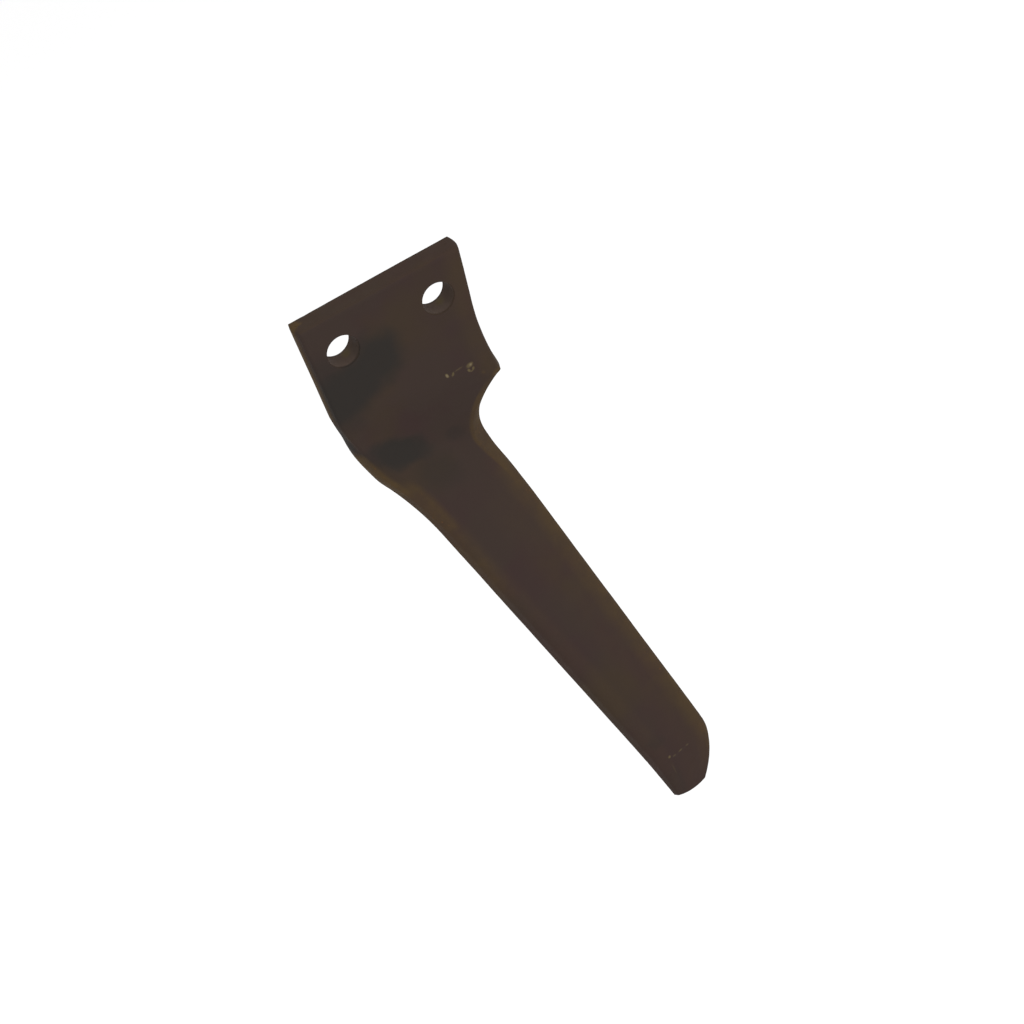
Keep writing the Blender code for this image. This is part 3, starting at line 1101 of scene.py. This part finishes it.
def tine_marks(head: HeadPlate) -> tuple[Mark, ...]:
    """The spots that the photograph shows.

    Args:
        head: Sizes of the head, for the painted highlights in its holes.

    Returns:
        All marks of the tine.
    """
    rub_and_highlight, thin, stain, dent = (partial(Mark, wear) for wear in WearAndLight)
    left_hole, right_hole = (centre / MM for centre in head.hole_centres)
    wall = head.hole_diameter / 2 / MM
    return (
        rub_and_highlight(30.4, -44.6, 2.2, 0.4, 1.4, 12),
        rub_and_highlight(31.0, -44.7, 1.3, 0.9, 1.4, 20),
        rub_and_highlight(29.2, -47.4, 1.1, 0.5, 1.6, -70),
        rub_and_highlight(31.6, -47.6, 1.1, 0.45, 1.7, 70),
        rub_and_highlight(30.4, -48.6, 0.9, 0.35, 1.6),
        rub_and_highlight(17.4, -43.7, 1.2, 0.95, 1.7, -70),
        rub_and_highlight(20.5, -44.7, 1.1, 0.4, 2.0, 60),
        rub_and_highlight(24.2, -43.4, 0.9, 0.24, 4.5, 6),
        rub_and_highlight(-14.2, -119.5, 1.2, 0.35, 2.0, -72),
        # Rubbed paint with a painted highlight along the tip's raised lip.
        rub_and_highlight(45.8, -308.8, 1.2, 0.45, 1.2, depth=1.0),
        rub_and_highlight(49.0, -310.5, 0.9, 0.24, 4.0, -16, 1.2),
        rub_and_highlight(54.0, -311.2, 0.9, 0.28, 4.6, -6, 1.2),
        rub_and_highlight(59.6, -312.2, 0.9, 0.24, 4.0, -18, 1.3),
        rub_and_highlight(47.0, -318.0, 0.8, 0.14, 9.0, -84, 3.5, 3.0),
        # Painted highlights on the holes' lower walls.
        rub_and_highlight(left_hole + 3.4, -wall, 4.0, 0.42, 1.3, 0.0, 10.0, 1.5, 1.0),
        rub_and_highlight(right_hole + 3.0, -wall, 4.0, 0.38, 1.3, 0.0, 10.0, 1.5, 1.0),
        thin(44.6, -57.6, 5.0, 1.0),
        thin(38.0, -54.0, 2.0, 0.6, 3.0, -62),
        # Painted shade: the head's darker lower left, and the valley below the crease with the face
        # just below it.
        stain(-14.0, -13.5, 21.0, 1.0, through=0.65, softness=0.6),
        stain(-25.5, -20.0, 19.0, 1.0, through=0.65, softness=0.6),
        stain(-37.5, -23.5, 23.0, 1.0, through=0.65, softness=0.6),
        stain(-17.8, -75.5, 11.5, 1.0, 2.6, -27, softness=0.6),
        stain(13.4, -85.6, 8.0, 0.4),
        stain(-3.0, -98.0, 14.0, 0.4, 1.5, -40),
        stain(42.1, -296.0, 5.0, 0.35, 1.6),
        dent(30.6, -44.2, 1.5, 0.35, 1.4),
        dent(18.9, -43.4, 1.5, 0.35),
        dent(55.6, -266.9, 1.3, 0.40),
        dent(39.9, -285.6, 1.1, 0.30),
        dent(-4.4, -148.8, 1.0, 0.30, 4.0, -40),
        dent(-40.0, 10.0, 1.5, 0.25, 1.5),
        dent(48.0, -310.0, 1.0, -0.45, 3.5, -22, 1.2, 3.0),
        dent(55.5, -311.2, 1.0, -0.40, 5.0, -8, 1.2, 3.0),
    )


def edge_stretches() -> tuple[Stretch, ...]:
    """Where the paint along the edges is worn or stained, and where light and shade are painted
    along them, as the photograph shows it.
    """
    thin, stain = partial(Stretch, WearAndLight.THINNED), partial(Stretch, WearAndLight.STAINED)
    left, right = Side.LEFT, Side.RIGHT
    return (
        # Worn paint and painted light in one: the bright bands at the knee, along the left blade's
        # edge and along the right bevel are painted light on edges turned to the light.
        thin(left, -30, -20.6, -200, 200, 0.2, 0.4),
        thin(left, -40, 38, -15, -3.8, 1.0, 6, 1.0),
        thin(left, 65, 98, -16, -1.5, 1.0, 3, 1.5),
        thin(left, 92, 130, -16, 3.0, 0.7, 6, 2.5),
        thin(left, 122, 178, -16, 3.0, 0.6, 20, 5.0),
        thin(left, 150, 345, -16, 6.0, 0.15, 20, 3.0),
        thin(right, -40, 60, -6, 9.0, 0.2, 6, 4.0),
        thin(right, 62, 140, -8, 6.5, 0.75, 10),
        thin(right, 118, 330, -8, 9.0, 0.75, 14, 8.0),
        thin(right, 130, 345, -8, 26.0, 0.15, 20, 10.0),
        # Painted shade: the head's lower left along its edge, the left side face at the bend, and
        # the tip's left facet.
        stain(left, -2, 44, -8, 13.0, 0.5, 8, 3.0),
        stain(left, 42, 62, -16, -3.0, 1.0, 4, 1.5),
        stain(left, 318, 345, -16, 7.0, 0.3, 5, 2.0),
    )


@dataclass(frozen=True)
class TineForging:
    """The finished tine: its form, its forged skin, its paint and its marks."""

    form: Form = field(default_factory=Form)
    skin: ForgedSkin = field(default_factory=ForgedSkin)
    paint: DarkPaint = field(default_factory=DarkPaint)
    sharp_from: float = math.radians(38)

    def forge(self) -> bpy.types.Object:
        """Builds the finished piece: the bar, its holes, its skin, its dents and its worn paint
        with its painted light and shade.
        """
        head, crank = self.form.head, self.form.crank
        marks = tine_marks(head)
        finish = self.paint.material(marks, crank)
        bar = self.form.bar(edge_stretches())
        cutters = [head.cutter(centre) for centre in head.hole_centres]
        for cutter in cutters:
            cut = bar.modifiers.new("bolt_hole", "BOOLEAN")
            cut.operation = "DIFFERENCE"
            cut.solver = "EXACT"
            cut.object = cutter
        piece = placed("tine_forging", self.evaluated(bar))
        for spare in [bar, *cutters]:
            bpy.data.objects.remove(spare, do_unlink=True)
        self.store_shares(piece.data)
        self.skin.attach(piece, finish)
        mesh = self.evaluated(piece)
        mesh.name = "tine_forging"
        piece.modifiers.clear()
        piece.data = mesh
        self.press_dents(mesh, marks)
        mesh.materials.clear()
        mesh.materials.append(finish)
        mesh.shade_smooth()
        mesh.set_sharp_from_angle(angle=self.sharp_from)
        return piece

    @staticmethod
    def evaluated(piece: bpy.types.Object) -> bpy.types.Mesh:
        """The plain mesh that a piece's modifiers make."""
        seen = piece.evaluated_get(bpy.context.evaluated_depsgraph_get())
        return bpy.data.meshes.new_from_object(seen)

    @staticmethod
    def places(mesh: bpy.types.Mesh) -> Array:
        """The places of a mesh's vertices, one row each."""
        flat = np.empty(len(mesh.vertices) * 3)
        mesh.vertices.foreach_get("co", flat)
        return flat.reshape(-1, 3)

    def store_shares(self, mesh: bpy.types.Mesh) -> None:
        """Stores where the skin is uneven and the painted light on the holes' walls, and keeps
        those walls free of the edges' wear and painted light and shade.

        Args:
            mesh: Mesh of the bar with its holes cut.
        """
        places = self.places(mesh)
        bore = self.form.head.bore_share(places)
        store(mesh, "skin", self.form.head.skin_share(places))
        store(mesh, "bore", bore)
        for wear in (WearAndLight.THINNED, WearAndLight.STAINED):
            worn = np.empty(len(places), dtype=np.float32)
            mesh.attributes[wear.name.lower()].data.foreach_get("value", worn)
            store(mesh, wear.name.lower(), worn * (1.0 - bore))

    def press_dents(self, mesh: bpy.types.Mesh, marks: tuple[Mark, ...]) -> None:
        """Presses the dents in along the front face's inward direction.

        Args:
            mesh: The finished mesh.
            marks: All marks; only the dents move the surface.
        """
        places = self.places(mesh)
        inward = self.form.crank.inward(places[:, 0], places[:, 2])
        for mark in marks:
            if mark.wear is WearAndLight.DENTED:
                places = places + mark.weight(places, self.form.crank)[:, None] * MM * inward
        mesh.vertices.foreach_set("co", places.reshape(-1))
        mesh.update()


@dataclass(frozen=True)
class Softbox:
    """A large square lamp that looks at a point."""

    name: str
    place: Triple
    aim: Triple
    size: float
    power: float

    def hang(self) -> None:
        """Adds the lamp to the scene."""
        data = bpy.data.lights.new(self.name, "AREA")
        data.size = self.size
        data.energy = self.power
        lamp = placed(self.name, data)
        lamp.location = self.place
        way = Vector(self.aim) - Vector(self.place)
        lamp.rotation_euler = way.to_track_quat("-Z", "Y").to_euler()


@dataclass(frozen=True)
class Studio:
    """Pale floor, white surroundings, soft lamps and the camera at the photograph's angle."""

    floor_gap: float = 0.12
    floor_reach: float = 6.0
    floor_colour: Colour = (0.90, 0.90, 0.90)
    floor_glow: float = 0.28
    floor_roughness: float = 0.9
    floor_specular: float = 0.1
    white: Colour = (1.0, 1.0, 1.0)
    surround: float = 0.72
    camera_place: Triple = (-0.2803, -1.1551, 0.7433)
    camera_right: Triple = (0.8464, -0.4480, -0.2881)
    camera_down: Triple = (-0.4912, -0.4474, -0.7474)
    lens: float = 98.44
    sensor: float = 36.0
    farthest: float = 30.0
    lamps: tuple[Softbox, ...] = (
        Softbox("key_lamp", (-0.6, -1.6, 1.5), (0.0, 0.0, -0.1), 1.4, 12.8),
        Softbox("side_lamp", (1.5, -1.1, 0.9), (0.0, 0.0, -0.1), 1.2, 8.5),
    )

    def floor(self) -> None:
        """Lays the pale floor below the tine and marks it as stage."""
        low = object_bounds()[0][2] - self.floor_gap
        reach = self.floor_reach
        mesh = bpy.data.meshes.new("studio_floor")
        corners = [(x * reach, y * reach, low) for x, y in ((-1, -1), (1, -1), (1, 1), (-1, 1))]
        mesh.from_pydata(corners, [], [(0, 1, 2, 3)])
        mesh.materials.append(self.paper())
        floor = placed("studio_floor", mesh)
        floor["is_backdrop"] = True

    def paper(self) -> bpy.types.Material:
        """The floor's pale matt paper, a little brighter to the camera than its light makes it."""
        paper = bpy.data.materials.new("studio_paper")
        paper.use_nodes = True
        sketch = NodeSketch(paper.node_tree)
        feeds = {
            "Base Color": self.floor_colour,
            "Roughness": self.floor_roughness,
            "Specular IOR Level": self.floor_specular,
            "Emission Color": self.white,
            "Emission Strength": sketch.product(self.seen_directly(sketch), self.floor_glow),
        }
        sketch.feed(paper.node_tree.nodes["Principled BSDF"], feeds)
        return paper

    @staticmethod
    def seen_directly(sketch: NodeSketch) -> Socket:
        """1 for the camera's own rays and for what reflections and glass show, 0 for light."""
        rays = sketch.add("ShaderNodeLightPath").outputs
        names = ("Is Camera Ray", "Is Glossy Ray", "Is Transmission Ray")
        return sketch.largest(*(rays[name] for name in names))

    def surroundings(self) -> None:
        """Makes the world white for the camera and reflections, and a little softer as light."""
        world = bpy.data.worlds.new("white_tent")
        world.use_nodes = True
        bpy.context.scene.world = world
        sketch = NodeSketch(world.node_tree)
        strength = sketch.span(self.seen_directly(sketch), 0.0, 1.0, (self.surround, 1.0))
        feeds = {"Color": self.white, "Strength": strength}
        sketch.feed(world.node_tree.nodes["Background"], feeds)

    def camera(self) -> None:
        """Sets the camera where the photograph was taken from."""
        data = bpy.data.cameras.new("photo_camera")
        data.lens = self.lens
        data.sensor_width = self.sensor
        data.sensor_fit = "HORIZONTAL"
        data.clip_end = self.farthest
        right = Vector(self.camera_right).normalized()
        up = -Vector(self.camera_down)
        up = (up - right * up.dot(right)).normalized()
        turn = Matrix((right, up, right.cross(up))).transposed().to_4x4()
        camera = placed("photo_camera", data)
        camera.matrix_world = Matrix.Translation(self.camera_place) @ turn
        bpy.context.scene.camera = camera

    def set_up(self) -> None:
        """Builds the whole studio."""
        bpy.context.scene.view_settings.view_transform = "Standard"
        self.floor()
        self.surroundings()
        for lamp in self.lamps:
            lamp.hang()
        self.camera()


def main() -> None:
    """Builds the studio and the tine in order and reports each piece."""
    logging.basicConfig(level=logging.INFO, format="%(name)s: %(message)s")
    Studio().set_up()
    LOG.info("studio: floor, surroundings, lamps and camera")
    piece = TineForging().forge()
    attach(piece, "root")
    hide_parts("tine")
    mesh = piece.data
    LOG.info("%s: %d vertices, %d faces", piece.name, len(mesh.vertices), len(mesh.polygons))


if __name__ == "__main__":
    main()
